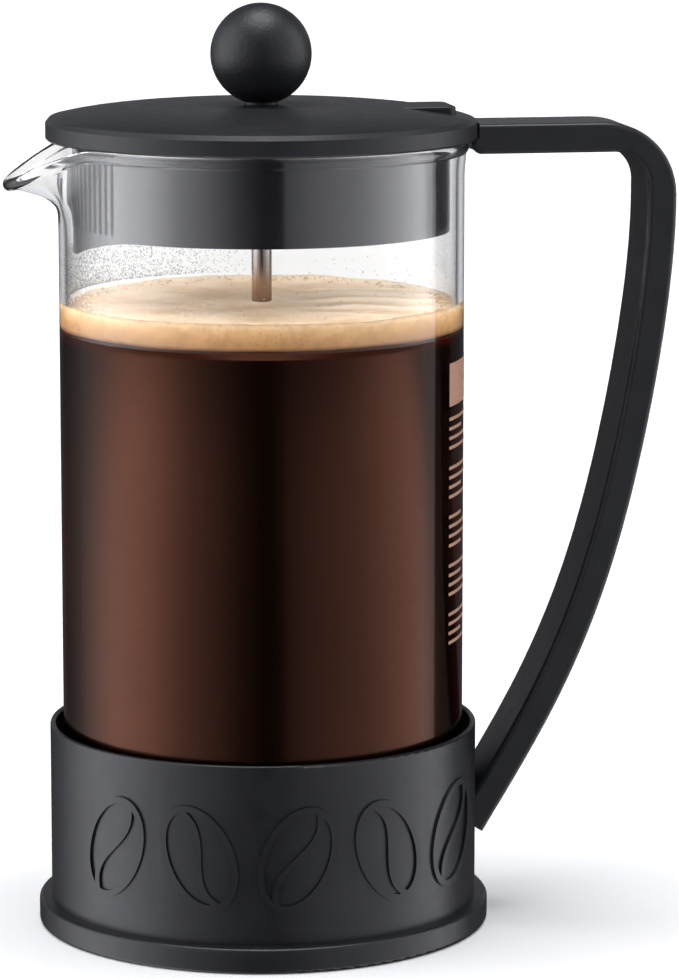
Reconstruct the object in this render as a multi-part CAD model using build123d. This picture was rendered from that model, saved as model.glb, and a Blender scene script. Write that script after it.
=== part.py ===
from build123d import *
import math
import os

# French press of the one-litre class: a one-piece plastic frame with a loop handle, a glass beaker
# that lifts out of it, a lid with a slotted strainer skirt, and a plunger with a layered filter.
# Millimetres. +Z is up, +X points to the handle and -X to the spout. The origin is on the axis of
# the beaker, on the surface that the frame stands on. The plunger is pressed right down.

# ---------------------------------------------------------------- driving dimensions
# beaker
GLASS_R = 48.0              # outer radius of the glass wall
GLASS_WALL = 1.9            # thickness of the glass wall
GLASS_FLOOR_Z = 3.9         # underside of the glass
GLASS_FLOOR = 2.6           # thickness of the glass floor
GLASS_TOP_Z = 188.4         # top of the rim
GLASS_CORNER_R = 8.0        # outer radius between wall and floor
RIM_FLARE = 1.0             # how far the rim stands out of the wall
RIM_FLARE_Z = 181.0         # height at which the wall starts to flare

# pouring spout, opposite the handle
SPOUT_WALL = 1.8
SPOUT_RIM_START = 45.5      # distance from the axis where the rim starts to fall
SPOUT_FALL = 0.57           # fall of the rim for each millimetre outwards
SPOUT_STATIONS = (          # distance from the axis, half width at the rim, lowest outside point
    (40.0, 19.6, 164.0), (45.0, 18.2, 168.6), (50.0, 14.8, 172.6), (54.0, 11.2, 175.3),
    (58.0, 7.4, 177.5), (61.0, 4.0, 179.0))

# frame: floor, flange, ring
FRAME_FLANGE_R = 54.2
FRAME_FLANGE_H = 6.0
FRAME_FLANGE_EDGE = 1.0     # rounding of the flange's edges
RING_R = 51.2
RING_TOP_Z = 48.7
RING_SEAT_R = 48.4          # bore that centres the glass
RING_LIP_R = 49.8           # bore of the open lip
RING_LIP_Z = 42.0           # where the bore starts to open
FLOOR_TOP_Z = 3.8
FLOOR_UNDER_Z = 1.6         # underside of the floor between the ribs
FOOT_RING_R = 47.0          # inner radius of the foot ring
FOOT_BOSS_R = 9.0           # central boss of the underside
FOOT_RIBS = 8
FOOT_RIB_W = 1.8
RING_LIP_EDGE = 0.6         # rounding of the lip's edges
FLANGE_SLOPE = 0.3          # rise of the flange's top towards the ring

# relief on the ring: plain coffee beans
BEAN_COUNT = 5
BEAN_PITCH = 26.0           # degrees
BEAN_HALF_LENGTH = 13.0
BEAN_HALF_WIDTH = 8.6
BEAN_TILT = 24.0            # degrees from upright
BEAN_PROUD = 0.6
BEAN_BORDER = 1.5           # width of the raised outline
BEAN_Z = 26.5

# handle
HANDLE_W = 19.0
HANDLE_T = 7.05
HANDLE_EDGE = 1.1           # rounding of the bar's long edges
HANDLE_TOP_Z = 191.9
HANDLE_REACH = 98.8         # outermost face of the bar, from the axis
HANDLE_BEND_OUT = 17.6      # outer and inner radius of the upper bend
HANDLE_BEND_IN = 8.0
HANDLE_SPINE = ((93.0, 144.5), (88.0, 115.6), (77.4, 76.8), (64.3, 47.7), (53.8, 29.6))
HANDLE_FOOT = (49.4, 22.4)  # end of the spine inside the ring
HANDLE_PAD_R = 49.7         # hollow of the arm's end around the glass rim
HANDLE_LID_R = 51.5         # hollow of the arm's end around the lid
HANDLE_PAD_CORNER = 3.4     # rounding under the arm's end

# lid
LID_R = 50.9
LID_RIM_BOTTOM_Z = 188.75
LID_RIM_TOP_Z = 193.6
LID_APEX_Z = 196.7
LID_DOME_POWER = 4.0
LID_SHELL = 2.2
LID_EDGE = 0.9              # rounding of the rim's edges
LUG_START = 30.0            # where the thumb lug leaves the dome, from the axis
LUG_END = 45.6
LUG_W = 15.0
LUG_H = 4.0                 # height of the block that the lug is cut from
LUG_TOP_Z = 196.1
SCOOP_W = 34.0              # flat scoop on both sides of the lug, which slopes down to the rim
SCOOP_END_Z = 193.1
LID_RIB_R = 46.4            # rib under the lid that stands on the skirt's flange
LID_RIB_T = 1.4
SLEEVE_R = 5.2              # guide sleeve under the lid
SLEEVE_BOTTOM_Z = 184.0
ROD_CLEARANCE = 0.1         # radial

# strainer skirt
SKIRT_R = 44.6
SKIRT_WALL = 1.6
SKIRT_BOTTOM_Z = 167.6
SKIRT_DIP = (               # x, and how much deeper the lower edge is there
    (-32.5, 0.0), (-38.2, 0.8), (-41.9, 2.5), (-43.3, 3.7), (-44.1, 4.6), (-45.2, 5.2))
SKIRT_FLANGE_R = 48.5
SKIRT_FLANGE_Z = 188.5
SKIRT_FLANGE_T = 1.8
SLOT_COUNT = 23
SLOT_PITCH = 2.9            # degrees
SLOT_W = 1.1
SLOT_BOTTOM_Z = 169.0
SLOT_TOP_Z = 186.0

# plunger
ROD_R = 2.4
ROD_TOP_Z = 208.0
ROD_BOTTOM_Z = 12.4
BALL_R = 11.95
BALL_Z = 208.6
NECK_R = 4.0
NECK_BOTTOM_Z = 196.75
INSERT_R = 3.9
INSERT_BOTTOM_Z = 199.4
INSERT_TOP_Z = 210.0

# filter
CROSS_Z = 16.2              # underside of the cross plate
CROSS_R = 42.6
CROSS_T = 0.8
CROSS_RIM_H = 2.4
CROSS_ARMS = 6
CROSS_ARM_W = 5.0
CROSS_HUB_R = 10.0
CROSS_BAND_W = 6.0          # width of the ring outside the windows
HUB_R = 5.6
HUB_H = 4.2                 # height of the hub under the cross plate
HUB_STEP = 1.4              # the hub's collar inside the cross plate is this much smaller
HUB_CHAMFER = 0.6
MESH_T = 0.4
MESH_R = 45.5
MESH_RIM_H = 4.4
SPIRAL_T = 0.6
SPIRAL_R = 40.4
SPIRAL_RIM_H = 3.4
SPIRAL_HOLES = ((13.0, 12), (19.5, 18), (26.0, 24), (32.5, 30))     # radius, count
SPIRAL_HOLE_R = 1.25
COIL_R = 2.1
COIL_RING_R = 42.7
COIL_GAP = 0.1              # air between spring and mesh
COLLAR_R = 7.0
COLLAR_T = 0.8              # thickness of the collar's flange
COLLAR_H = 2.6
COLLAR_WALL = 1.2
PAST = 5.0                  # how far cutting tools reach past a surface

# ---------------------------------------------------------------- helpers


def turned(*outline):
    """A solid turned about Z from (radius, height) corners."""
    profile = make_face(Plane.XZ * Polyline(*outline, close=True))
    return revolve(profile, Axis.Z)


def upright(radius, bottom, top):
    """An upright cylinder on the axis."""
    return Pos(0, 0, bottom) * extrude(Circle(radius), top - bottom)


def save(node, shape):
    """One STEP file for one piece, named after it."""
    shape.label = node
    export_step(shape, f"parts/{node}.step")


# ---------------------------------------------------------------- frame


def ring_and_floor():
    """Floor, foot, flange and ring, without handle or relief."""
    body = turned(
        (0, FLOOR_UNDER_Z), (FOOT_RING_R, FLOOR_UNDER_Z), (FOOT_RING_R, 0), (FRAME_FLANGE_R, 0),
        (FRAME_FLANGE_R, FRAME_FLANGE_H), (RING_R, FRAME_FLANGE_H + FLANGE_SLOPE), (RING_R, RING_TOP_Z),
        (RING_LIP_R, RING_TOP_Z), (RING_LIP_R, RING_LIP_Z + 2), (RING_SEAT_R, RING_LIP_Z),
        (RING_SEAT_R, FLOOR_TOP_Z), (0, FLOOR_TOP_Z))
    circles = body.edges().filter_by(GeomType.CIRCLE)
    flange = [e for e in circles if abs(e.radius - FRAME_FLANGE_R) < 0.01]
    body = fillet(flange, FRAME_FLANGE_EDGE)
    lip = [e for e in body.edges().filter_by(GeomType.CIRCLE)
           if abs(e.center().Z - RING_TOP_Z) < 0.01]
    body = fillet(lip, RING_LIP_EDGE)
    boss = upright(FOOT_BOSS_R, 0, FLOOR_UNDER_Z)
    rib_length = FOOT_RING_R - FOOT_BOSS_R + 2
    rib_middle = FOOT_BOSS_R - 1 + rib_length / 2
    rib = Pos(rib_middle, 0, FLOOR_UNDER_Z / 2) * Box(rib_length, FOOT_RIB_W, FLOOR_UNDER_Z)
    return body + boss + [Rot(0, 0, 360 / FOOT_RIBS * i) * rib for i in range(FOOT_RIBS)]


def beside(curve, distance, steps=14):
    """Spline at a distance to the left of a curve in the XY plane."""
    points = []
    for i in range(steps + 1):
        along = curve % (i / steps)
        points.append(curve @ (i / steps) + Vector(-along.Y, along.X) * distance)
    return Spline(*points)


def handle():
    """Loop handle: a flat bar bent in the XZ plane, with rounded edges."""
    half = HANDLE_T / 2
    arm_x = HANDLE_PAD_R - 3
    under_z = HANDLE_TOP_Z - HANDLE_T
    inner_x = HANDLE_REACH - HANDLE_T
    bend_z = HANDLE_TOP_Z - HANDLE_BEND_OUT
    out_x = HANDLE_REACH - HANDLE_BEND_OUT
    in_x, in_z = inner_x - HANDLE_BEND_IN, under_z - HANDLE_BEND_IN
    back = Spline(
        (HANDLE_REACH - half, bend_z), *HANDLE_SPINE, HANDLE_FOOT, tangents=[(0, -1), (-0.55, -0.84)])
    outer_back = beside(back, half)
    inner_back = beside(back, -half)
    outline = [
        Line((arm_x, HANDLE_TOP_Z), (out_x, HANDLE_TOP_Z)),
        CenterArc((out_x, bend_z), HANDLE_BEND_OUT, 0, 90), outer_back,
        Line(outer_back @ 1, inner_back @ 1), inner_back,
        Line((inner_x, bend_z), (inner_x, in_z)), CenterArc((in_x, in_z), HANDLE_BEND_IN, 0, 90),
        Line((in_x, under_z), (arm_x, under_z)), Line((arm_x, under_z), (arm_x, HANDLE_TOP_Z))]
    bar = extrude(Plane.XZ * make_face(outline), HANDLE_W / 2, both=True)
    # the arm's end: hollow around the lid above and around the glass rim below
    step_z = GLASS_TOP_Z + 0.1
    bar -= upright(HANDLE_LID_R, step_z, HANDLE_TOP_Z + PAST)
    bar -= upright(HANDLE_PAD_R, under_z - PAST, step_z)
    under = [e for e in bar.edges() if abs(e.center().Z - under_z) < 0.01
             and e.geom_type == GeomType.CIRCLE]
    bar = fillet(under, HANDLE_PAD_CORNER * 0.7)
    sides = [e for e in bar.edges() if abs(e.bounding_box().size.Y) < 0.01
             and abs(abs(e.center().Y) - HANDLE_W / 2) < 0.01 and e.center().X > HANDLE_LID_R + 4]
    bar = fillet(sides, HANDLE_EDGE)
    # the bar stops inside the wall of the ring
    return bar - upright(RING_R - 0.8, 0, RING_TOP_Z + 20)


def bean():
    """Outline and crease of one coffee bean, drawn upright in a plane."""
    outside = Ellipse(BEAN_HALF_WIDTH, BEAN_HALF_LENGTH)
    inside = Ellipse(BEAN_HALF_WIDTH - BEAN_BORDER, BEAN_HALF_LENGTH - BEAN_BORDER)
    reach = BEAN_HALF_LENGTH - BEAN_BORDER / 2
    crease = Spline((0, reach), (BEAN_HALF_WIDTH * 0.22, reach * 0.45), (0, 0),
                    (-BEAN_HALF_WIDTH * 0.22, -reach * 0.45), (0, -reach))
    return outside - inside + trace(crease, BEAN_BORDER)


def beans():
    """Raised row of beans on the side of the ring."""
    low, high = BEAN_Z - BEAN_HALF_LENGTH - PAST, BEAN_Z + BEAN_HALF_LENGTH + PAST
    skin = upright(RING_R + BEAN_PROUD, low, high) - upright(RING_R - 0.4, low - PAST, high + PAST)
    row = []
    for i in range(BEAN_COUNT):
        turn = (i - (BEAN_COUNT - 1) / 2) * BEAN_PITCH
        tilt = BEAN_TILT if i % 2 else -BEAN_TILT
        place = Rot(0, 0, turn) * Pos(0, 0, BEAN_Z) * Rot(90, 0, 0) * Rot(0, 0, tilt)
        row.append((place * extrude(bean(), RING_R + PAST)) & skin)
    return row


frame = ring_and_floor() + handle()
for one in beans():
    frame += one

# ---------------------------------------------------------------- beaker


def rim_z(reach):
    """Height of the rim at a distance from the axis towards the spout."""
    return GLASS_TOP_Z - SPOUT_FALL * max(0.0, reach - SPOUT_RIM_START)


def trough(stations, shrink=0.0):
    """Spout's outer shape, or its channel when shrunk, through (reach, half width, bottom) stations."""
    sections = []
    top = GLASS_TOP_Z + 3
    for reach, half_width, bottom in stations:
        half = half_width - shrink
        shoulder = rim_z(reach) + shrink
        depth = shoulder - bottom - shrink
        section = make_face([
            Line((half, shoulder), (half, top)), Line((half, top), (-half, top)),
            Line((-half, top), (-half, shoulder)),
            EllipticalCenterArc((0, shoulder), half, depth, start_angle=180, arc_size=180)])
        sections.append(Pos(-reach, 0, 0) * (Plane.YZ * section))
    return loft(sections)


def round_bottomed(radius, bottom, corner):
    """Upright cylinder to above the rim with a rounded bottom edge."""
    body = upright(radius, bottom, GLASS_TOP_Z + PAST)
    return fillet(body.edges().group_by(Axis.Z)[0], corner)


glass_inner_r = GLASS_R - GLASS_WALL
glass = round_bottomed(GLASS_R, GLASS_FLOOR_Z, GLASS_CORNER_R)
glass += turned((GLASS_R - 1, RIM_FLARE_Z), (GLASS_R, RIM_FLARE_Z), (GLASS_R + RIM_FLARE, GLASS_TOP_Z),
                (GLASS_R - 1, GLASS_TOP_Z))
glass += trough(SPOUT_STATIONS)
glass -= round_bottomed(glass_inner_r, GLASS_FLOOR_Z + GLASS_FLOOR, GLASS_CORNER_R - GLASS_WALL)
glass -= trough(SPOUT_STATIONS[:-1], SPOUT_WALL)
above_rim = Polyline(
    (-SPOUT_RIM_START, GLASS_TOP_Z), (-80, rim_z(80)), (-80, GLASS_TOP_Z + 20), (80, GLASS_TOP_Z + 20),
    (80, GLASS_TOP_Z), close=True)
glass -= extrude(Plane.XZ * make_face(above_rim), 80, both=True)

# ---------------------------------------------------------------- lid


def dome_z(r):
    """Height of the dome's outer face at a radius."""
    return LID_APEX_Z - (LID_APEX_Z - LID_RIM_TOP_Z) * (r / LID_R) ** LID_DOME_POWER


dome_points = [(r, dome_z(r)) for r in (0, 12, 24, 34, 42, 47, LID_R - LID_EDGE)]
dome_face = make_face([
    Spline(*dome_points), Line(dome_points[-1], (LID_R, LID_RIM_TOP_Z - LID_EDGE)),
    Line((LID_R, LID_RIM_TOP_Z - LID_EDGE), (LID_R, LID_RIM_BOTTOM_Z + LID_EDGE / 2)),
    Line((LID_R, LID_RIM_BOTTOM_Z + LID_EDGE / 2), (LID_R - LID_EDGE / 2, LID_RIM_BOTTOM_Z)),
    Line((LID_R - LID_EDGE / 2, LID_RIM_BOTTOM_Z), (0, LID_RIM_BOTTOM_Z)),
    Line((0, LID_RIM_BOTTOM_Z), dome_points[0])])
lid = revolve(Plane.XZ * dome_face, Axis.Z)
lid_space = turned((0, LID_RIM_BOTTOM_Z - 1), (LID_R - LID_SHELL, LID_RIM_BOTTOM_Z - 1),
                   (LID_R - LID_SHELL, LID_RIM_TOP_Z - LID_SHELL), (40, LID_RIM_TOP_Z - LID_SHELL + 1),
                   (0, LID_RIM_TOP_Z - LID_SHELL + 2))
lid -= lid_space
flange_top = SKIRT_FLANGE_Z + SKIRT_FLANGE_T
rib_top = LID_RIM_TOP_Z - LID_SHELL + 1.2
lid += upright(LID_RIB_R, flange_top, rib_top) - upright(LID_RIB_R - LID_RIB_T, flange_top - 1, rib_top + 1)
lid += upright(SLEEVE_R, SLEEVE_BOTTOM_Z, LID_APEX_Z - 1)
scoop = Polyline(
    (LUG_START, dome_z(LUG_START)), (LID_R + 1, SCOOP_END_Z), (LID_R + 1, LUG_TOP_Z + PAST),
    (LUG_START, LUG_TOP_Z + PAST), close=True)
lid -= extrude(Plane.XZ * make_face(scoop), SCOOP_W / 2, both=True)
lug_length = LUG_END - LUG_START
lug = Pos(LUG_START + lug_length / 2, 0, LUG_TOP_Z - LUG_H / 2) * Box(lug_length, LUG_W, LUG_H)
lug = fillet(lug.edges().filter_by(Axis.Z).group_by(Axis.X)[-1], 2.0)
lug = fillet(lug.faces().sort_by(Axis.Z)[-1].edges(), 0.5)
lid += lug - upright(LUG_END + PAST, LUG_TOP_Z - LUG_H - 1, SCOOP_END_Z - 0.5)
lid -= upright(ROD_R + ROD_CLEARANCE, SLEEVE_BOTTOM_Z - 1, LID_APEX_Z + 1)

skirt_low_z = SKIRT_BOTTOM_Z - SKIRT_DIP[-1][1]
skirt = turned(
    (SKIRT_R, skirt_low_z), (SKIRT_R, SKIRT_FLANGE_Z), (SKIRT_FLANGE_R, SKIRT_FLANGE_Z),
    (SKIRT_FLANGE_R, flange_top), (SKIRT_R - SKIRT_WALL, flange_top), (SKIRT_R - SKIRT_WALL, skirt_low_z))
# the lower edge is level, but deeper in front of the pouring lip
below = skirt_low_z - PAST
edge = [(x, SKIRT_BOTTOM_Z - deeper) for x, deeper in SKIRT_DIP]
below_skirt = make_face([
    Line((GLASS_R, SKIRT_BOTTOM_Z), edge[0]), Spline(*edge, tangents=[(-1, 0), (-1, -0.8)]),
    Line(edge[-1], (edge[-1][0], below)), Line((edge[-1][0], below), (GLASS_R, below)),
    Line((GLASS_R, below), (GLASS_R, SKIRT_BOTTOM_Z))])
skirt -= extrude(Plane.XZ * below_skirt, GLASS_R, both=True)
slot_length = SLOT_TOP_Z - SLOT_BOTTOM_Z
slot = Pos(-SKIRT_R, 0, SLOT_BOTTOM_Z + slot_length / 2) * Box(4 * SKIRT_WALL, SLOT_W, slot_length)
for i in range(SLOT_COUNT):
    skirt -= Rot(0, 0, (i - (SLOT_COUNT - 1) / 2) * SLOT_PITCH) * slot

# ---------------------------------------------------------------- plunger

rod = upright(ROD_R, ROD_BOTTOM_Z, ROD_TOP_Z)
rod = chamfer(rod.edges().group_by(Axis.Z)[0], 0.5)
insert = upright(INSERT_R, INSERT_BOTTOM_Z, INSERT_TOP_Z) - upright(ROD_R, INSERT_BOTTOM_Z, ROD_TOP_Z)
neck = upright(NECK_R, NECK_BOTTOM_Z, BALL_Z)
knob = Pos(0, 0, BALL_Z) * Sphere(BALL_R) + neck
knob -= upright(INSERT_R, INSERT_BOTTOM_Z, INSERT_TOP_Z)
knob -= upright(ROD_R + 2 * ROD_CLEARANCE, NECK_BOTTOM_Z - 1, INSERT_BOTTOM_Z)

# ---------------------------------------------------------------- filter


def ring_of_holes(radius, count, hole_r):
    """Round holes evenly spaced on a circle."""
    return [Rot(0, 0, 360 / count * i) * Pos(radius, 0) * Circle(hole_r) for i in range(count)]


cross_sheet = Circle(CROSS_R) - (Circle(CROSS_R - CROSS_BAND_W) - Circle(CROSS_HUB_R))
arm_bar = Pos(CROSS_R / 2, 0) * Rectangle(CROSS_R - 2, CROSS_ARM_W)
cross_sheet = cross_sheet + [Rot(0, 0, 360 / CROSS_ARMS * i) * arm_bar for i in range(CROSS_ARMS)]
cross_sheet = cross_sheet - Circle(HUB_R - HUB_STEP)
cross = Pos(0, 0, CROSS_Z) * extrude(cross_sheet, CROSS_T)
rim_low_z = CROSS_Z - CROSS_RIM_H
cross += upright(CROSS_R, rim_low_z, CROSS_Z) - upright(CROSS_R - CROSS_T, rim_low_z - 1, CROSS_Z)
hub = upright(HUB_R, CROSS_Z - HUB_H, CROSS_Z) + upright(HUB_R - HUB_STEP, CROSS_Z, CROSS_Z + CROSS_T)
hub -= upright(ROD_R, CROSS_Z - HUB_H - 1, CROSS_Z + CROSS_T + 1)
hub = chamfer(hub.edges().group_by(Axis.Z)[0].sort_by(SortBy.RADIUS)[-1:], HUB_CHAMFER)

mesh_z = CROSS_Z + CROSS_T
mesh_rim_z = mesh_z + MESH_RIM_H
mesh = turned(
    (ROD_R, mesh_z), (MESH_R, mesh_z), (MESH_R, mesh_rim_z), (MESH_R - MESH_T, mesh_rim_z),
    (MESH_R - MESH_T, mesh_z + MESH_T), (ROD_R, mesh_z + MESH_T))
spiral_z = mesh_z + MESH_T
spiral_sheet = Circle(SPIRAL_R) - Circle(ROD_R)
for ring_radius, hole_count in SPIRAL_HOLES:
    spiral_sheet = spiral_sheet - ring_of_holes(ring_radius, hole_count, SPIRAL_HOLE_R)
spiral = Pos(0, 0, spiral_z) * extrude(spiral_sheet, SPIRAL_T)
spiral_rim_z = spiral_z + SPIRAL_RIM_H
spiral_rim = upright(SPIRAL_R, spiral_z, spiral_rim_z)
spiral_rim -= upright(SPIRAL_R - SPIRAL_T, spiral_z, spiral_rim_z + 1)
spiral += spiral_rim
coil = Pos(0, 0, spiral_z + COIL_R + COIL_GAP) * Torus(COIL_RING_R, COIL_R)
collar_z = spiral_z + SPIRAL_T
collar = upright(COLLAR_R, collar_z, collar_z + COLLAR_T)
collar += upright(ROD_R + COLLAR_WALL, collar_z, collar_z + COLLAR_H)
collar -= upright(ROD_R, collar_z, collar_z + COLLAR_H)

# ---------------------------------------------------------------- files

save("base_frame", frame)
save("glass_beaker", glass)
save("lid_dome", lid)
save("strainer_skirt", skirt)
save("ball_knob", knob)
save("knob_insert", insert)
save("plunger_rod", rod)
save("rod_collar", collar)
save("spiral_plate", spiral)
save("edge_spring", coil)
save("mesh_screen", mesh)
save("cross_plate", cross)
save("plate_hub", hub)
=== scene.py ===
import math
import random

import bpy
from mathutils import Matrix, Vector, noise


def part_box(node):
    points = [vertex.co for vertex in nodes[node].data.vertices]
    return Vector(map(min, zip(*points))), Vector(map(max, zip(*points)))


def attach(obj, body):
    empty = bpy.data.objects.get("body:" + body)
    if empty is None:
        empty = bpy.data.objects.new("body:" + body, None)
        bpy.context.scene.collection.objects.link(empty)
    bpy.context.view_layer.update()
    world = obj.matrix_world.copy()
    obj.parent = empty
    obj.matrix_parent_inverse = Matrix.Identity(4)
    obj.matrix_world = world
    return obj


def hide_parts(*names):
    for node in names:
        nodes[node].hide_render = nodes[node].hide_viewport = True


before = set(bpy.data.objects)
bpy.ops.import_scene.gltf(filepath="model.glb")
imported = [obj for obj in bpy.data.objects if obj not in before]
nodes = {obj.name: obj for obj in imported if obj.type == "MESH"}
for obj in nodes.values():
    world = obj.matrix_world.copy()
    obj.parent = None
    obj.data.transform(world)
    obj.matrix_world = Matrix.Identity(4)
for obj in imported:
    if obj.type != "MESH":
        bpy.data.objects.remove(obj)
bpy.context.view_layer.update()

# A french press on a plain pale floor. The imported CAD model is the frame; the beaker, the edge
# spring and the mesh are rebuilt here in finer detail, and coffee, froth, droplets and the printed
# marks are added. Lengths in this script are millimetres until mesh_piece() turns them to metres.

MM = 0.001


def box_mm(node):
    """Lowest and highest corner of a CAD node, in millimetres."""
    low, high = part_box(node)
    return Vector(low) / MM, Vector(high) / MM


# ---------------------------------------------------------------- sizes taken from the frame
glass_low, glass_high = box_mm("glass_beaker")
rod_high = box_mm("plunger_rod")[1]
mesh_low, mesh_high = box_mm("mesh_screen")
coil_low, coil_high = box_mm("edge_spring")

RIM_FLARE = 1.0                             # how far the rim stands out of the wall
GLASS_R = glass_high.y - RIM_FLARE          # outer radius of the wall
GLASS_WALL = 1.9
GLASS_FLOOR = 2.6
GLASS_CORNER = 8.0
GLASS_BOTTOM = glass_low.z
GLASS_TOP = glass_high.z
ROD_R = rod_high.x

# ---------------------------------------------------------------- mesh helpers


def mesh_piece(name, points, faces, materials, body, smooth=True):
    """A mesh object from points in millimetres, which rides on a CAD body."""
    mesh = bpy.data.meshes.new(name)
    mesh.from_pydata([(x * MM, y * MM, z * MM) for x, y, z in points], [], faces)
    mesh.validate()
    for material in materials:
        mesh.materials.append(material)
    mesh.polygons.foreach_set("use_smooth", [smooth] * len(mesh.polygons))
    mesh.update()
    piece = bpy.data.objects.new(name, mesh)
    bpy.context.scene.collection.objects.link(piece)
    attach(piece, body)
    return piece


def lathe(profile_at, columns):
    """Points and faces of a closed surface of revolution; profile_at(angle in degrees) lists
    (radius, height) from the bottom pole to the top pole, and both poles lie on the axis."""
    profiles = [profile_at(360 * c / columns) for c in range(columns)]
    rows = len(profiles[0]) - 2
    points = [(0, 0, profiles[0][0][1])]
    for c, profile in enumerate(profiles):
        angle = math.radians(360 * c / columns)
        points += [(r * math.cos(angle), r * math.sin(angle), z) for r, z in profile[1:-1]]
    points.append((0, 0, profiles[0][-1][1]))
    top = len(points) - 1
    faces = []
    for c in range(columns):
        here = 1 + c * rows
        there = 1 + (c + 1) % columns * rows
        faces.append((0, there, here))
        for row in range(rows - 1):
            faces.append((here + row, there + row, there + row + 1, here + row + 1))
        faces.append((here + rows - 1, there + rows - 1, top))
    return points, faces


def corner(radius, height, size, steps, rising=True):
    """Quarter circle between a flat floor and an upright wall of the given radius."""
    arc = []
    for i in range(steps + 1):
        turn = math.pi / 2 * i / steps
        arc.append((radius - size + size * math.sin(turn), height + size - size * math.cos(turn)))
    return arc if rising else arc[::-1]


def smooth_step(low, high, value):
    """0 below low, 1 above high, and an S-curve between."""
    part = min(1.0, max(0.0, (value - low) / (high - low)))
    return part * part * (3 - 2 * part)


# ---------------------------------------------------------------- material helpers


def new_material(name):
    """An empty node material with its principled shader."""
    material = bpy.data.materials.new(name)
    material.use_nodes = True
    shader = material.node_tree.nodes["Principled BSDF"]
    return material, material.node_tree, shader


def place(tree):
    """The object's own coordinates, in metres."""
    return tree.nodes.new("ShaderNodeTexCoord").outputs["Object"]


def noise_node(tree, vector, size_mm, detail=3.0, roughness=0.5):
    """Noise whose features are about size_mm across."""
    node = tree.nodes.new("ShaderNodeTexNoise")
    node.inputs["Scale"].default_value = 1 / (size_mm * MM)
    node.inputs["Detail"].default_value = detail
    node.inputs["Roughness"].default_value = roughness
    tree.links.new(vector, node.inputs["Vector"])
    return node.outputs["Fac"]


def ramp(tree, factor, *stops):
    """A colour ramp; each stop is (position, colour)."""
    node = tree.nodes.new("ShaderNodeValToRGB")
    elements = node.color_ramp.elements
    elements.remove(elements[1])
    elements[0].position = stops[0][0]
    elements[0].color = (*stops[0][1], 1)
    for position, colour in stops[1:]:
        elements.new(position).color = (*colour, 1)
    tree.links.new(factor, node.inputs["Fac"])
    return node.outputs["Color"]


def math_node(tree, operation, first, second=None, third=None):
    """A math node; inputs are sockets or numbers."""
    node = tree.nodes.new("ShaderNodeMath")
    node.operation = operation
    for socket, value in zip(node.inputs, (first, second, third)):
        if isinstance(value, (int, float)):
            socket.default_value = value
        elif value is not None:
            tree.links.new(value, socket)
    return node.outputs["Value"]


def mapped(tree, value, low, high, to_low, to_high):
    """Smooth mapping of a value from one range to another."""
    node = tree.nodes.new("ShaderNodeMapRange")
    node.interpolation_type = "SMOOTHSTEP"
    for name, number in zip(("From Min", "From Max", "To Min", "To Max"), (low, high, to_low, to_high)):
        node.inputs[name].default_value = number
    tree.links.new(value, node.inputs["Value"])
    return node.outputs["Result"]


def stain(tree, colour, film, amount=1.0):
    """A colour multiplied by a film of another colour."""
    node = tree.nodes.new("ShaderNodeMix")
    node.data_type = "RGBA"
    node.blend_type = "MULTIPLY"
    node.inputs["Factor"].default_value = amount
    tree.links.new(colour, node.inputs[6])
    tree.links.new(film, node.inputs[7])
    return node.outputs[2]


def bump(tree, shader, height, depth_mm, strength=1.0):
    """Bump from a height socket; depth_mm is the relief's real depth."""
    node = tree.nodes.new("ShaderNodeBump")
    node.inputs["Distance"].default_value = depth_mm * MM
    node.inputs["Strength"].default_value = strength
    tree.links.new(height, node.inputs["Height"])
    tree.links.new(node.outputs["Normal"], shader.inputs["Normal"])


def plastic(name, colour, roughness, grain_mm, grain_depth_mm, ior=1.5):
    """Moulded plastic: spark-eroded grain, a little mottling and uneven gloss."""
    material, tree, shader = new_material(name)
    where = place(tree)
    mottle = noise_node(tree, where, 9.0, 4.0)
    dark = tuple(c * 0.82 for c in colour)
    light = tuple(c * 1.18 for c in colour)
    tree.links.new(ramp(tree, mottle, (0.3, dark), (0.7, light)), shader.inputs["Base Color"])
    gloss = noise_node(tree, where, 4.0, 3.0)
    low = (roughness - 0.03,) * 3
    high = (roughness + 0.04,) * 3
    tree.links.new(ramp(tree, gloss, (0.3, low), (0.7, high)), shader.inputs["Roughness"])
    shader.inputs["IOR"].default_value = ior
    bump(tree, shader, noise_node(tree, where, grain_mm, 4.0, 0.6), grain_depth_mm)
    return material


def steel(name, colour, roughness, grain_mm=(0.4, 0.4, 0.4), depth_mm=0.01):
    """Steel with a drawn or rolled grain; grain_mm is the grain's size along X, Y and Z."""
    material, tree, shader = new_material(name)
    stretch = tree.nodes.new("ShaderNodeMapping")
    stretch.inputs["Scale"].default_value = tuple(1 / size for size in grain_mm)
    tree.links.new(place(tree), stretch.inputs["Vector"])
    grain = noise_node(tree, stretch.outputs["Vector"], 1.0, 3.0)
    dark = tuple(c * 0.85 for c in colour)
    tree.links.new(ramp(tree, grain, (0.35, dark), (0.65, colour)), shader.inputs["Base Color"])
    low = (roughness * 0.8,) * 3
    high = (roughness * 1.25,) * 3
    tree.links.new(ramp(tree, grain, (0.3, low), (0.7, high)), shader.inputs["Roughness"])
    shader.inputs["Metallic"].default_value = 1.0
    bump(tree, shader, grain, depth_mm)
    return material


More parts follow.
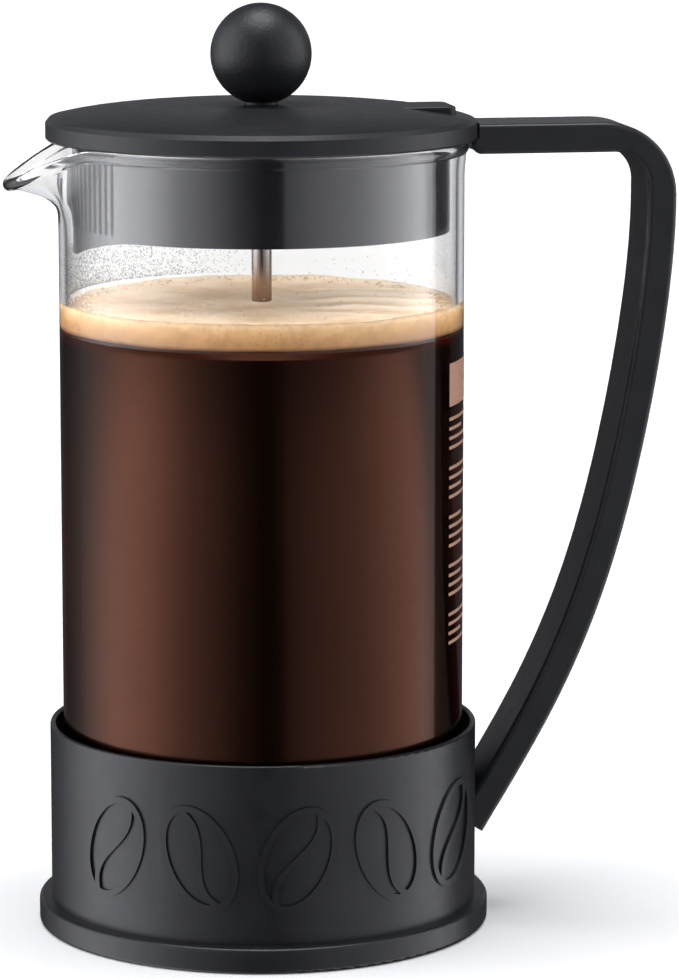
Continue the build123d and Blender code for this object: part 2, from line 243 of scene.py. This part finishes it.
def rod_material():
    """Polished rod with a brown film where it stands in coffee and froth."""
    material = steel("rod_steel", (0.50, 0.49, 0.48), 0.16, (0.3, 0.3, 6.0))
    tree = material.node_tree
    shader = tree.nodes["Principled BSDF"]
    split = tree.nodes.new("ShaderNodeSeparateXYZ")
    tree.links.new(place(tree), split.inputs["Vector"])
    height = mapped(tree, split.outputs["Z"], (FROTH_TOP + 1) * MM, (FROTH_TOP + 16) * MM, 0.0, 1.0)
    film = ramp(tree, height, (0.0, (0.60, 0.42, 0.31)), (0.7, (0.86, 0.76, 0.68)), (1.0, (1, 1, 1)))
    grain = shader.inputs["Base Color"].links[0].from_socket
    tree.links.new(stain(tree, grain, film), shader.inputs["Base Color"])
    return material


def clear(name, ior, specular_tint=(1, 1, 1)):
    """Clear glass or water, very slightly uneven."""
    material, tree, shader = new_material(name)
    shader.inputs["Base Color"].default_value = (1, 1, 1, 1)
    shader.inputs["Transmission Weight"].default_value = 1.0
    shader.inputs["Roughness"].default_value = 0.0
    shader.inputs["IOR"].default_value = ior
    shader.inputs["Specular Tint"].default_value = (*specular_tint, 1)
    bump(tree, shader, noise_node(tree, place(tree), 22.0, 1.0), 0.02, 0.5)
    return material


def coffee_material():
    """Black coffee behind glass: dark, with a soft brown sheen."""
    material, tree, shader = new_material("coffee")
    depth = noise_node(tree, place(tree), 30.0, 2.0)
    colour = ramp(tree, depth, (0.2, (0.052, 0.0200, 0.0125)), (0.8, (0.060, 0.0235, 0.0150)))
    tree.links.new(colour, shader.inputs["Base Color"])
    shader.inputs["Metallic"].default_value = 1.0
    shader.inputs["Specular Tint"].default_value = (0.34, 0.16, 0.11, 1)
    shader.inputs["Roughness"].default_value = 0.20
    return material


def froth_material():
    """Coffee froth: pale on top, golden to tan down the side, with fine bubbles."""
    material, tree, shader = new_material("froth")
    where = place(tree)
    split = tree.nodes.new("ShaderNodeSeparateXYZ")
    tree.links.new(where, split.inputs["Vector"])
    height = math_node(tree, "SUBTRACT", split.outputs["Z"], FROTH_BOTTOM * MM)
    height = math_node(tree, "DIVIDE", height, (FROTH_TOP - FROTH_BOTTOM) * MM)
    side = ramp(
        tree, height, (0.0, (0.04, 0.015, 0.005)), (0.14, (0.13, 0.065, 0.022)),
        (0.5, (0.19, 0.105, 0.040)), (0.82, (0.25, 0.155, 0.072)), (0.98, (0.31, 0.215, 0.125)))
    swirl = noise_node(tree, where, 14.0, 5.0, 0.6)
    # painted shade: the crests of the folds are painted paler and the hollows darker by height, standing in
    # for the folds' shading; the raised edge at the glass comes out golden
    crest_painted_shade = mapped(tree, split.outputs["Z"], (FROTH_TOP - 1.0) * MM, (FROTH_TOP + 1.0) * MM, 0.0, 0.6)
    pale = ramp(
        tree, math_node(tree, "MULTIPLY_ADD", swirl, 0.4, crest_painted_shade), (0.20, (0.72, 0.48, 0.26)),
        (0.34, (0.92, 0.70, 0.47)), (0.58, (0.97, 0.82, 0.63)), (0.78, (0.88, 0.62, 0.34)))
    bubbles = tree.nodes.new("ShaderNodeTexVoronoi")
    bubbles.inputs["Scale"].default_value = 1 / (1.1 * MM)
    tree.links.new(where, bubbles.inputs["Vector"])
    cells = ramp(tree, bubbles.outputs["Distance"], (0.05, (0.62, 0.62, 0.62)), (0.32, (1, 1, 1)))
    blotches = noise_node(tree, where, 2.6, 3.0, 0.6)
    patches = ramp(tree, blotches, (0.35, (0.74, 0.70, 0.64)), (0.6, (1, 1, 1)))
    side = stain(tree, side, stain(tree, cells, patches), 0.75)
    top = tree.nodes.new("ShaderNodeMix")
    top.data_type = "RGBA"
    geometry = tree.nodes.new("ShaderNodeNewGeometry")
    facing = tree.nodes.new("ShaderNodeSeparateXYZ")
    tree.links.new(geometry.outputs["True Normal"], facing.inputs["Vector"])
    tree.links.new(facing.outputs["Z"], top.inputs["Factor"])
    tree.links.new(side, top.inputs[6])
    tree.links.new(pale, top.inputs[7])
    tree.links.new(top.outputs[2], shader.inputs["Base Color"])
    shader.inputs["Roughness"].default_value = 0.55
    shader.inputs["Specular IOR Level"].default_value = 0.12
    bump(tree, shader, bubbles.outputs["Distance"], 0.12, 0.6)
    return material


def ink_material():
    """Tan enamel print, slightly uneven."""
    material, tree, shader = new_material("print_ink")
    cover = noise_node(tree, place(tree), 0.7, 2.0)
    colour = ramp(tree, cover, (0.3, (0.40, 0.21, 0.14)), (0.7, (0.50, 0.28, 0.19)))
    tree.links.new(colour, shader.inputs["Base Color"])
    shader.inputs["Roughness"].default_value = 0.5
    return material


def woven_material():
    """Fine plain weave of steel wire, from two crossed waves."""
    material, tree, shader = new_material("woven_steel")
    where = place(tree)
    waves = []
    for direction in ("X", "Y"):
        wave = tree.nodes.new("ShaderNodeTexWave")
        wave.bands_direction = direction
        wave.inputs["Scale"].default_value = 1 / (math.pi * WEAVE_PITCH * MM)
        tree.links.new(where, wave.inputs["Vector"])
        waves.append(wave.outputs["Fac"])
    over = math_node(tree, "MAXIMUM", *waves)
    colour = ramp(tree, over, (0.35, (0.05, 0.05, 0.05)), (0.9, (0.60, 0.60, 0.61)))
    tree.links.new(colour, shader.inputs["Base Color"])
    shader.inputs["Metallic"].default_value = 1.0
    shader.inputs["Roughness"].default_value = 0.32
    bump(tree, shader, over, 0.08)
    return material


# ---------------------------------------------------------------- camera
# The view looks down a little from above the lid, and comes from the lip's side of square-on.
CAMERA_DISTANCE = 1057.4    # from the beaker's axis, level
CAMERA_HEIGHT = 287.5
CAMERA_SWING = 9.0          # degrees towards the pouring lip from square-on
CAMERA_DOWN = 9.81
CAMERA_RIGHT = 1.0          # degrees past the beaker's axis, towards the handle
LENS = 165.2


def make_camera():
    """Camera at the working view."""
    data = bpy.data.cameras.new("camera")
    data.lens = LENS
    data.sensor_width = 36
    data.clip_start = 0.05
    data.clip_end = 60
    camera = bpy.data.objects.new("camera", data)
    swing = math.radians(CAMERA_SWING)
    x, y = -CAMERA_DISTANCE * math.sin(swing), -CAMERA_DISTANCE * math.cos(swing)
    camera.location = (x * MM, y * MM, CAMERA_HEIGHT * MM)
    camera.rotation_euler = (
        math.radians(90 - CAMERA_DOWN), 0, -math.radians(CAMERA_SWING + CAMERA_RIGHT))
    bpy.context.scene.collection.objects.link(camera)
    bpy.context.scene.camera = camera


make_camera()

# ---------------------------------------------------------------- beaker
SPOUT_REACH = 12.2          # how far the tip stands out of the flared rim
SPOUT_DIP = 8.1             # how far the tip lies below the rim
SPOUT_HALF_ANGLE = 39.8     # degrees from the tip to where the rim is round again
SPOUT_SHARPNESS = 2.9      # larger is a more pointed lip
SPOUT_ROOT = 158.0          # height where the wall starts to swell
SPOUT_SWELL = 9.2           # power of the swelling towards the lip
FLARE_LENGTH = 7.0          # height over which the round part of the rim flares
BEAD_R = 1.5                # the fire-polished rim ends in a round bead
GLASS_COLUMNS = 288
WALL_ROWS = 6
LIP_ROWS = 30
LIP_STEPS = 90
RIM_STEPS = 18
CORNER_STEPS = 8


def lip_blend(angle):
    """1 at the spout's tip, 0 where the rim is round; the tip points to -X."""
    away = abs(angle % 360 - 180)
    part = min(away / SPOUT_HALF_ANGLE, 1.0)
    return (0.5 + 0.5 * math.cos(math.pi * part)) ** SPOUT_SHARPNESS


def glass_profile(angle):
    """Outside and inside of the glass in one half plane, from the outside pole to the inside pole."""
    blend = lip_blend(angle)
    rim = GLASS_TOP - BEAD_R - SPOUT_DIP * blend
    line, run = [], [0.0]
    for i in range(LIP_STEPS + 1):
        part = i / LIP_STEPS
        z = SPOUT_ROOT + part * (rim - SPOUT_ROOT)
        flare = RIM_FLARE * 0.5 * smooth_step(rim - FLARE_LENGTH, rim + 1, z)
        swell = SPOUT_REACH * blend * part ** SPOUT_SWELL
        line.append(Vector((GLASS_R - GLASS_WALL / 2 + flare + swell, z)))
        if i:
            run.append(run[-1] + (line[-1] - line[-2]).length)
    ways = [(line[min(i + 1, LIP_STEPS)] - line[max(i - 1, 0)]).normalized() for i in range(LIP_STEPS + 1)]
    # the bead starts where its circle meets the wall's faces
    crease = math.sqrt(BEAD_R ** 2 - (GLASS_WALL / 2) ** 2)
    outside, inside = [], []
    for i in range(LIP_ROWS + 1):
        here = (run[-1] - crease - 0.1) * (1 - (1 - i / LIP_ROWS) ** 1.5)
        k = max(1, next(n for n, length in enumerate(run) if length >= here))
        part = (here - run[k - 1]) / (run[k] - run[k - 1])
        point = line[k - 1].lerp(line[k], part)
        way = ways[k - 1].lerp(ways[k], part).normalized()
        out = Vector((way.y, -way.x)) * GLASS_WALL / 2
        outside.append(point + out)
        inside.append(point - out)
    along = ways[-1]
    across = Vector((along.y, -along.x))
    start = math.asin(-crease / BEAD_R)
    bead = []
    for i in range(RIM_STEPS + 1):
        turn = start + (math.pi - 2 * start) * i / RIM_STEPS
        bead.append(line[-1] + across * BEAD_R * math.cos(turn) + along * BEAD_R * math.sin(turn))
    inner_r = GLASS_R - GLASS_WALL
    inner_floor = GLASS_BOTTOM + GLASS_FLOOR
    inner_corner = GLASS_CORNER - GLASS_WALL
    outer_start = GLASS_BOTTOM + GLASS_CORNER
    inner_start = inner_floor + inner_corner
    profile = [(0, GLASS_BOTTOM)] + corner(GLASS_R, GLASS_BOTTOM, GLASS_CORNER, CORNER_STEPS)
    level = FROTH_BOTTOM - 0.5
    for i in range(1, WALL_ROWS + 1):
        profile.append((GLASS_R, outer_start + (level - outer_start) * i / WALL_ROWS))
    profile += [tuple(p) for p in outside + bead + inside[::-1]]
    for i in range(WALL_ROWS, 0, -1):
        profile.append((inner_r, inner_start + (level - inner_start) * i / WALL_ROWS))
    profile += corner(inner_r, inner_floor, inner_corner, CORNER_STEPS, rising=False)
    return profile + [(0, inner_floor)]


def make_beaker():
    """Blown glass beaker with a swept lip; the wall in front of the coffee has its own finish."""
    points, faces = lathe(glass_profile, GLASS_COLUMNS)
    beaker = mesh_piece("beaker_blown", points, faces, (glass_clear, glass_filled), "beaker_body")
    for polygon in beaker.data.polygons:
        polygon.material_index = 1 if polygon.center.z < (FROTH_BOTTOM - 0.6) * MM else 0
    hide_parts("glass_beaker")


# ---------------------------------------------------------------- coffee and froth
FROTH_BOTTOM = 144.4        # level of the coffee
FROTH_TOP = 150.2
SOAK = 0.08                 # the liquid reaches this far into the glass, so that it wets it
LIQUID_R = GLASS_R - GLASS_WALL + SOAK
FROTH_RINGS = 46
EDGE_ROWS = 6               # rows of faces up the froth's side
EDGE_PROUD = 0.03           # the froth's side lies this far outside the coffee's
FROTH_COLUMNS = 216
MENISCUS = 0.9              # rise of the froth against the glass
ROD_CLING = 0.8             # rise of the froth against the rod
FOLD_HEIGHT = 1.15          # height of the folds that were pushed up on the handle side
FOLD_SPACING = 1.9          # distance between folds, divided by a full turn


def coffee_profile(angle):
    """Coffee from the glass floor to the middle of the froth."""
    floor = GLASS_BOTTOM + GLASS_FLOOR - SOAK
    bend = GLASS_CORNER - GLASS_WALL
    return ([(0, floor)] + corner(LIQUID_R, floor, bend, CORNER_STEPS)
            + [(LIQUID_R, FROTH_BOTTOM), (LIQUID_R - 0.6, FROTH_BOTTOM + 0.5), (0, FROTH_BOTTOM + 0.5)])


def froth_height(x, y):
    """Height of the froth's surface: folds pushed up on the handle side, fine unevenness, and a
    meniscus at the glass and at the rod."""
    r = math.hypot(x, y)
    broad = 0.35 * noise.noise((x / 16, y / 16, 3.1))
    height = FROTH_TOP - 0.5 + broad + 0.10 * noise.noise((x / 2.6, y / 2.6, 7.7))
    side = smooth_step(4, 22, x) * (1 - smooth_step(38, 46, r))
    fold = math.sin(y / FOLD_SPACING + 2.4 * noise.noise((x / 12, y / 12, 1.2)) + x / 8)
    folded = side * smooth_step(-36, -8, y) * (1 - smooth_step(6, 30, y))
    height += FOLD_HEIGHT * folded * max(0.0, fold) ** 3
    height += MENISCUS * math.exp(-(LIQUID_R - r) / 1.3)
    height += ROD_CLING * math.exp(-abs(r - ROD_R) / 1.0)
    return height


def make_liquid():
    """Coffee body and the froth that floats on it."""
    points, faces = lathe(coffee_profile, FROTH_COLUMNS)
    mesh_piece("coffee", points, faces, (coffee_material(),), "beaker_body")

    def froth_profile(angle):
        turn = math.radians(angle)
        wobble = 0.35 * noise.noise((math.cos(turn) * 3, math.sin(turn) * 3, 5.0))
        edge = froth_height(LIQUID_R * math.cos(turn), LIQUID_R * math.sin(turn))
        profile = [(0, FROTH_BOTTOM), (LIQUID_R - 0.4, FROTH_BOTTOM + wobble)]
        low = FROTH_BOTTOM + wobble
        for i in range(EDGE_ROWS + 1):
            profile.append((LIQUID_R + EDGE_PROUD, low + (edge - FROTH_BOTTOM - wobble) * i / EDGE_ROWS))
        for i in range(1, FROTH_RINGS):
            r = LIQUID_R * (1 - i / FROTH_RINGS)
            profile.append((r, froth_height(r * math.cos(turn), r * math.sin(turn))))
        return profile + [(0, froth_height(0, 0))]

    points, faces = lathe(froth_profile, FROTH_COLUMNS)
    mesh_piece("froth", points, faces, (froth_material(),), "beaker_body")


BUBBLE_COUNT = 800
BUBBLE_SPREAD = 2.4         # how far most bubbles lie from the glass


def make_bubbles():
    """Fine bubbles on the froth, most of them against the glass."""
    chance = random.Random(11)
    points, faces = [], []
    for _ in range(BUBBLE_COUNT):
        turn = chance.uniform(0, 2 * math.pi)
        inset = abs(chance.gauss(0, BUBBLE_SPREAD))
        size = 0.14 + 0.50 * chance.random() ** 4
        r = LIQUID_R - 0.35 - size - min(inset, 30)
        x, y = r * math.cos(turn), r * math.sin(turn)
        add_ball(points, faces, (x, y, froth_height(x, y)), size, Vector((0, 0, 1)), 0.8)
    mesh_piece("froth_bubbles", points, faces, (bubble_material(),), "beaker_body")


def add_ball(points, faces, centre, size, up, squash, around=10, rings=5):
    """Adds a small ball, flattened by squash along up."""
    side = up.orthogonal().normalized()
    other = up.cross(side)
    start = len(points)
    centre = Vector(centre)
    points.append(tuple(centre - up * size * squash))
    for ring in range(1, rings):
        lift = math.pi * ring / rings
        for a in range(around):
            turn = 2 * math.pi * a / around
            offset = (side * math.cos(turn) + other * math.sin(turn)) * size * math.sin(lift)
            points.append(tuple(centre + offset - up * size * squash * math.cos(lift)))
    points.append(tuple(centre + up * size * squash))
    last = len(points) - 1
    for a in range(around):
        b = (a + 1) % around
        faces.append((start, start + 1 + b, start + 1 + a))
        for ring in range(rings - 2):
            row = start + 1 + ring * around
            faces.append((row + a, row + b, row + around + b, row + around + a))
        row = start + 1 + (rings - 2) * around
        faces.append((row + a, row + b, last))


def bubble_material():
    """Shiny skin of froth bubbles."""
    material, tree, shader = new_material("bubble_skin")
    tone = noise_node(tree, place(tree), 3.0, 2.0)
    colour = ramp(tree, tone, (0.3, (0.62, 0.38, 0.17)), (0.7, (0.85, 0.66, 0.44)))
    tree.links.new(colour, shader.inputs["Base Color"])
    shader.inputs["Roughness"].default_value = 0.15
    return material


# ---------------------------------------------------------------- condensation
DROPLET_COUNT = 8500
STRAY_SHARE = 0.04          # share of the droplets that sit anywhere round the glass
DAMP_SIDE = (84, 205, 150)  # first, last and dampest angle, in degrees from the handle
DROPLET_START = 1.2         # the damp band starts this far above the froth
DROPLET_FIELD = 12.0        # and is this high
DROPLET_FLATNESS = 0.13     # thickness of a droplet, as a share of its radius


def make_droplets():
    """Condensation inside the glass above the froth, most of it on the lip's far side."""
    chance = random.Random(5)
    points, faces = [], []
    inner_r = GLASS_R - GLASS_WALL
    for _ in range(DROPLET_COUNT):
        if chance.random() < STRAY_SHARE:
            turn = chance.uniform(0, 2 * math.pi)
        else:
            turn = math.radians(chance.triangular(*DAMP_SIDE))
        lift = chance.random() ** 1.5
        size = 0.10 + 0.13 * chance.random()
        z = FROTH_TOP + DROPLET_START + DROPLET_FIELD * lift
        out = Vector((math.cos(turn), math.sin(turn), 0))
        centre = out * (inner_r - 0.02) + Vector((0, 0, z))
        add_ball(points, faces, centre, size, out, DROPLET_FLATNESS, 6, 3)
    mesh_piece("condensation", points, faces, (clear("water", 1.33),), "beaker_body")


# ---------------------------------------------------------------- printed marks
PRINT_START = -33.0         # degrees from the handle, where the marks begin
PRINT_LIFT = 0.04           # the ink lies this far out of the glass
PRINT_THICKNESS = 0.03
PRINT_PANEL = (127.4, 137.6)    # height of the plain panel
PRINT_SCALE = (66.5, 124.8)     # height of the level lines
PRINT_PANEL_WIDTH = 25.0    # degrees
PRINT_GROUPS = 5
PRINT_LINES = 4
PRINT_LENGTHS = (22, 17, 12)    # lengths of the lines, in degrees


def add_patch(points, faces, start, stop, low, high):
    """Adds a thin curved patch on the glass between two angles and two heights."""
    steps = max(2, int(abs(stop - start) / 2) + 1)
    first = len(points)
    for i in range(steps + 1):
        turn = math.radians(start + (stop - start) * i / steps)
        for r in (GLASS_R + PRINT_LIFT, GLASS_R + PRINT_LIFT + PRINT_THICKNESS):
            for z in (low, high):
                points.append((r * math.cos(turn), r * math.sin(turn), z))
    for i in range(steps):
        a = first + 4 * i
        b = a + 4
        faces += [(a, a + 1, b + 1, b), (a + 2, b + 2, b + 3, a + 3)]
        faces += [(a, b, b + 2, a + 2), (a + 1, a + 3, b + 3, b + 1)]
    end = first + 4 * steps
    faces += [(first, first + 2, first + 3, first + 1), (end, end + 1, end + 3, end + 2)]


def make_print():
    """A plain panel above groups of level lines; no lettering."""
    points, faces = [], []
    low, high = PRINT_PANEL
    add_patch(points, faces, PRINT_START, PRINT_START + PRINT_PANEL_WIDTH, low, high)
    low, high = PRINT_SCALE
    group_height = (high - low) / PRINT_GROUPS
    line_height = group_height * 0.78 / PRINT_LINES
    for group in range(PRINT_GROUPS):
        for line in range(PRINT_LINES):
            z = high - group * group_height - line * line_height
            length = PRINT_LENGTHS[(line * 2 + group) % 3]
            add_patch(points, faces, PRINT_START, PRINT_START + length, z - line_height * 0.34, z)
    mesh_piece("level_marks", points, faces, (ink_material(),), "beaker_body", smooth=False)


# ---------------------------------------------------------------- edge spring and mesh
WIRE_R = 0.42
COIL_PITCH = 1.75           # spacing of the turns round the plate
WIRE_SIDES = 6
TURN_STEPS = 14
WEAVE_PITCH = 0.7
MESH_T = 0.35


def make_spring():
    """Wire coil bent into a ring round the spiral plate."""
    coil_r = (coil_high.z - coil_low.z) / 2 - WIRE_R
    ring_r = coil_high.x - coil_r - WIRE_R
    middle_z = (coil_high.z + coil_low.z) / 2
    turns = int(2 * math.pi * ring_r / COIL_PITCH)
    steps = turns * TURN_STEPS
    line = []
    for i in range(steps):
        along = 2 * math.pi * i / steps
        turn = along * turns
        r = ring_r + coil_r * math.cos(turn)
        line.append(Vector((r * math.cos(along), r * math.sin(along), middle_z + coil_r * math.sin(turn))))
    points, faces = [], []
    for i, point in enumerate(line):
        way = (line[(i + 1) % steps] - line[i - 1]).normalized()
        along = 2 * math.pi * i / steps
        heart = Vector((ring_r * math.cos(along), ring_r * math.sin(along), middle_z))
        out = (point - heart).normalized()
        out = (out - way * out.dot(way)).normalized()
        side = way.cross(out)
        for k in range(WIRE_SIDES):
            turn = 2 * math.pi * k / WIRE_SIDES
            points.append(tuple(point + (out * math.cos(turn) + side * math.sin(turn)) * WIRE_R))
        there = (i + 1) % steps
        for k in range(WIRE_SIDES):
            m = (k + 1) % WIRE_SIDES
            here, next_ring = i * WIRE_SIDES, there * WIRE_SIDES
            faces.append((here + k, here + m, next_ring + m, next_ring + k))
    wire = steel("spring_wire", (0.62, 0.62, 0.63), 0.22)
    spring = mesh_piece("edge_spring_wire", points, faces, (wire,), "plunger_body")
    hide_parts("edge_spring")


def make_mesh():
    """Woven steel cup under the spiral plate: flat, with a rolled rim that wipes the glass."""
    low, high = mesh_low.z, mesh_high.z
    outer = mesh_high.x
    bend = 1.6

    def profile(angle):
        turn = math.radians(angle)
        frill = 0.10 * math.sin(turn * 60) + 0.10 * noise.noise((math.cos(turn) * 6, math.sin(turn) * 6, 0))
        rim = high - 0.3 + frill
        outside = corner(outer, low, bend, 6)
        inside = corner(outer - MESH_T, low + MESH_T, bend - MESH_T, 6, rising=False)
        return ([(0, low), (outer * 0.5, low)] + outside + [(outer, rim - 0.5), (outer - MESH_T / 2, rim)]
                + [(outer - MESH_T, rim - 0.5)] + inside + [(outer * 0.5, low + MESH_T), (0, low + MESH_T)])

    points, faces = lathe(profile, 240)
    screen = mesh_piece("mesh_woven", points, faces, (woven_material(),), "plunger_body")
    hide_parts("mesh_screen")


# ---------------------------------------------------------------- finishes of the CAD nodes


def dress(node, material):
    """Gives a CAD node its finish."""
    for material_slot in nodes[node].material_slots:
        material_slot.material = material


def dress_all():
    """Finishes of all the CAD nodes that stay."""
    black = (0.0105, 0.0112, 0.0142)
    dress("base_frame", plastic("frame_plastic", black, 0.33, 0.30, 0.012))
    dress("lid_dome", plastic("lid_plastic", black, 0.42, 0.60, 0.045))
    dress("ball_knob", plastic("knob_plastic", black, 0.43, 1.0, 0.10))
    gloss_black = (0.0022, 0.0023, 0.0032)
    dress("strainer_skirt", plastic("skirt_plastic", gloss_black, 0.16, 0.8, 0.004, ior=1.9))
    dress("knob_insert", steel("insert_brass", (0.70, 0.50, 0.22), 0.3))
    dress("plunger_rod", rod_material())
    dress("rod_collar", steel("collar_steel", (0.60, 0.60, 0.60), 0.25))
    pressed = steel("pressed_steel", (0.63, 0.63, 0.64), 0.26, (5.0, 0.35, 0.35))
    dress("spiral_plate", pressed)
    dress("cross_plate", pressed)
    dress("plate_hub", steel("hub_steel", (0.58, 0.58, 0.59), 0.24))


# ---------------------------------------------------------------- floor, light and air
LIGHT_SCALE = 3.0           # a colour ramp ends at 1, so levels are divided by this and multiplied again
# brightness round the horizon, in degrees from the camera's side, positive towards the handle
ROUND_THE_HORIZON = (
    (-180, 0.05), (-150, 0.07), (-140, 0.16), (-128, 0.45), (-112, 1.5), (-95, 2.7), (-72, 2.2), (-48, 0.9),
    (-24, 0.36), (-12, 0.14), (0, 0.03), (12, 0.03), (14, 0.27), (60, 0.8), (104, 2.1), (115, 1.7),
    (117, 0.10), (180, 0.06))
SIDES_FADE = (0.55, 0.85)   # the soft boxes fade upwards between these; heights are sines of elevation
SIDES_LEFT = 0.25           # and keep this share above
OVERHEAD_START = (0.90, 0.96)
BACK_GLOW = 0.28            # low, behind the press
BACK_GLOW_FROM = (130, 160)     # degrees from the camera's side
BACK_GLOW_RISE = (0.02, 0.06)
BACK_GLOW_FADE = (0.19, 0.36)
BACK_GLASS = 0.9            # the white surround as it shows in the edges of the glass
BACK_GLASS_FROM = (149, 161)    # degrees from the camera's side
COOL = (0.975, 0.985, 1.03)     # colour of the studio light
OVERHEAD = 5.6              # strength of the soft box above
INSIDE_GAIN = 12.0          # the light that gets in through the glass counts this much more


def make_air():
    """Studio light: a tall soft box on each side, one overhead, and a white surround."""
    world = bpy.data.worlds.new("studio")
    bpy.context.scene.world = world
    world.use_nodes = True
    tree = world.node_tree
    background = tree.nodes["Background"]
    direction = tree.nodes.new("ShaderNodeTexCoord").outputs["Generated"]
    turn = tree.nodes.new("ShaderNodeVectorRotate")
    turn.rotation_type = "Z_AXIS"
    turn.inputs["Angle"].default_value = math.radians(90 + CAMERA_SWING)
    tree.links.new(direction, turn.inputs["Vector"])
    split = tree.nodes.new("ShaderNodeSeparateXYZ")
    tree.links.new(turn.outputs["Vector"], split.inputs["Vector"])
    azimuth = math_node(tree, "ARCTAN2", split.outputs["Y"], split.outputs["X"])
    position = math_node(tree, "ADD", math_node(tree, "DIVIDE", azimuth, 2 * math.pi), 0.5)
    stops = [((angle + 180) / 360, (level / LIGHT_SCALE,) * 3) for angle, level in ROUND_THE_HORIZON]
    sides = math_node(tree, "MULTIPLY", ramp(tree, position, *stops), LIGHT_SCALE)
    lift = split.outputs["Z"]
    sides = math_node(tree, "MULTIPLY", sides, mapped(tree, lift, *SIDES_FADE, 1.0, SIDES_LEFT))
    above = mapped(tree, lift, *OVERHEAD_START, 0.0, OVERHEAD)
    lit = math_node(tree, "ADD", sides, above)
    turned_away = math_node(tree, "ABSOLUTE", azimuth)
    glow = mapped(tree, turned_away, *map(math.radians, BACK_GLOW_FROM), 0.0, BACK_GLOW)
    glow = math_node(tree, "MULTIPLY", glow, mapped(tree, lift, *BACK_GLOW_RISE, 0.0, 1.0))
    glow = math_node(tree, "MULTIPLY", glow, mapped(tree, lift, *BACK_GLOW_FADE, 1.0, 0.0))
    lit = math_node(tree, "ADD", lit, glow)
    path = tree.nodes.new("ShaderNodeLightPath")
    passed = path.outputs["Is Transmission Ray"]
    scattered = math_node(tree, "GREATER_THAN", path.outputs["Diffuse Depth"], 0.5)
    reflected = math_node(tree, "GREATER_THAN", path.outputs["Glossy Depth"], 0.5)
    turned = math_node(tree, "MAXIMUM", scattered, reflected)
    straight = math_node(tree, "MULTIPLY", passed, math_node(tree, "SUBTRACT", 1.0, turned))
    seen = math_node(tree, "MAXIMUM", path.outputs["Is Camera Ray"], straight)
    inside = math_node(tree, "MULTIPLY", passed, scattered)
    lit = math_node(tree, "MULTIPLY", lit, math_node(tree, "MULTIPLY_ADD", inside, INSIDE_GAIN - 1, 1.0))
    edge = math_node(tree, "MULTIPLY", passed, reflected)
    surround = mapped(tree, turned_away, *map(math.radians, BACK_GLASS_FROM), 0.0, BACK_GLASS)
    edge = math_node(tree, "MULTIPLY", edge, surround)
    lit = math_node(tree, "ADD", lit, edge)
    choice = tree.nodes.new("ShaderNodeMix")
    tree.links.new(seen, choice.inputs["Factor"])
    tree.links.new(lit, choice.inputs["A"])
    choice.inputs["B"].default_value = 1.0
    tree.links.new(choice.outputs["Result"], background.inputs["Strength"])
    tint = tree.nodes.new("ShaderNodeMix")
    tint.data_type = "RGBA"
    tree.links.new(seen, tint.inputs["Factor"])
    tint.inputs[6].default_value = (*COOL, 1)
    tint.inputs[7].default_value = (1, 1, 1, 1)
    tree.links.new(tint.outputs[2], background.inputs["Color"])


FLOOR_HALF = 8.0            # metres


def make_floor():
    """Plain pale floor, which mirror and glass rays don't see."""
    mesh = bpy.data.meshes.new("floor")
    half = FLOOR_HALF
    corners = [(-half, -half, 0), (half, -half, 0), (half, half, 0), (-half, half, 0)]
    mesh.from_pydata(corners, [], [(0, 1, 2, 3)])
    material, tree, shader = new_material("floor_pale")
    shader.inputs["Base Color"].default_value = (0.92, 0.92, 0.92, 1)
    shader.inputs["Roughness"].default_value = 0.9
    shader.inputs["Emission Color"].default_value = (1, 1, 1, 1)
    shader.inputs["Emission Strength"].default_value = 0.12
    mesh.materials.append(material)
    floor = bpy.data.objects.new("floor", mesh)
    bpy.context.scene.collection.objects.link(floor)
    floor.visible_glossy = False
    floor.visible_transmission = False


# ---------------------------------------------------------------- build
bpy.context.scene.view_settings.view_transform = "Standard"
glass_clear = clear("glass_clear", 1.47)
glass_filled = clear("glass_over_coffee", 1.18, specular_tint=(1.0, 0.46, 0.32))
make_beaker()
make_liquid()
make_bubbles()
make_droplets()
make_print()
make_spring()
make_mesh()
dress_all()
make_air()
make_floor()
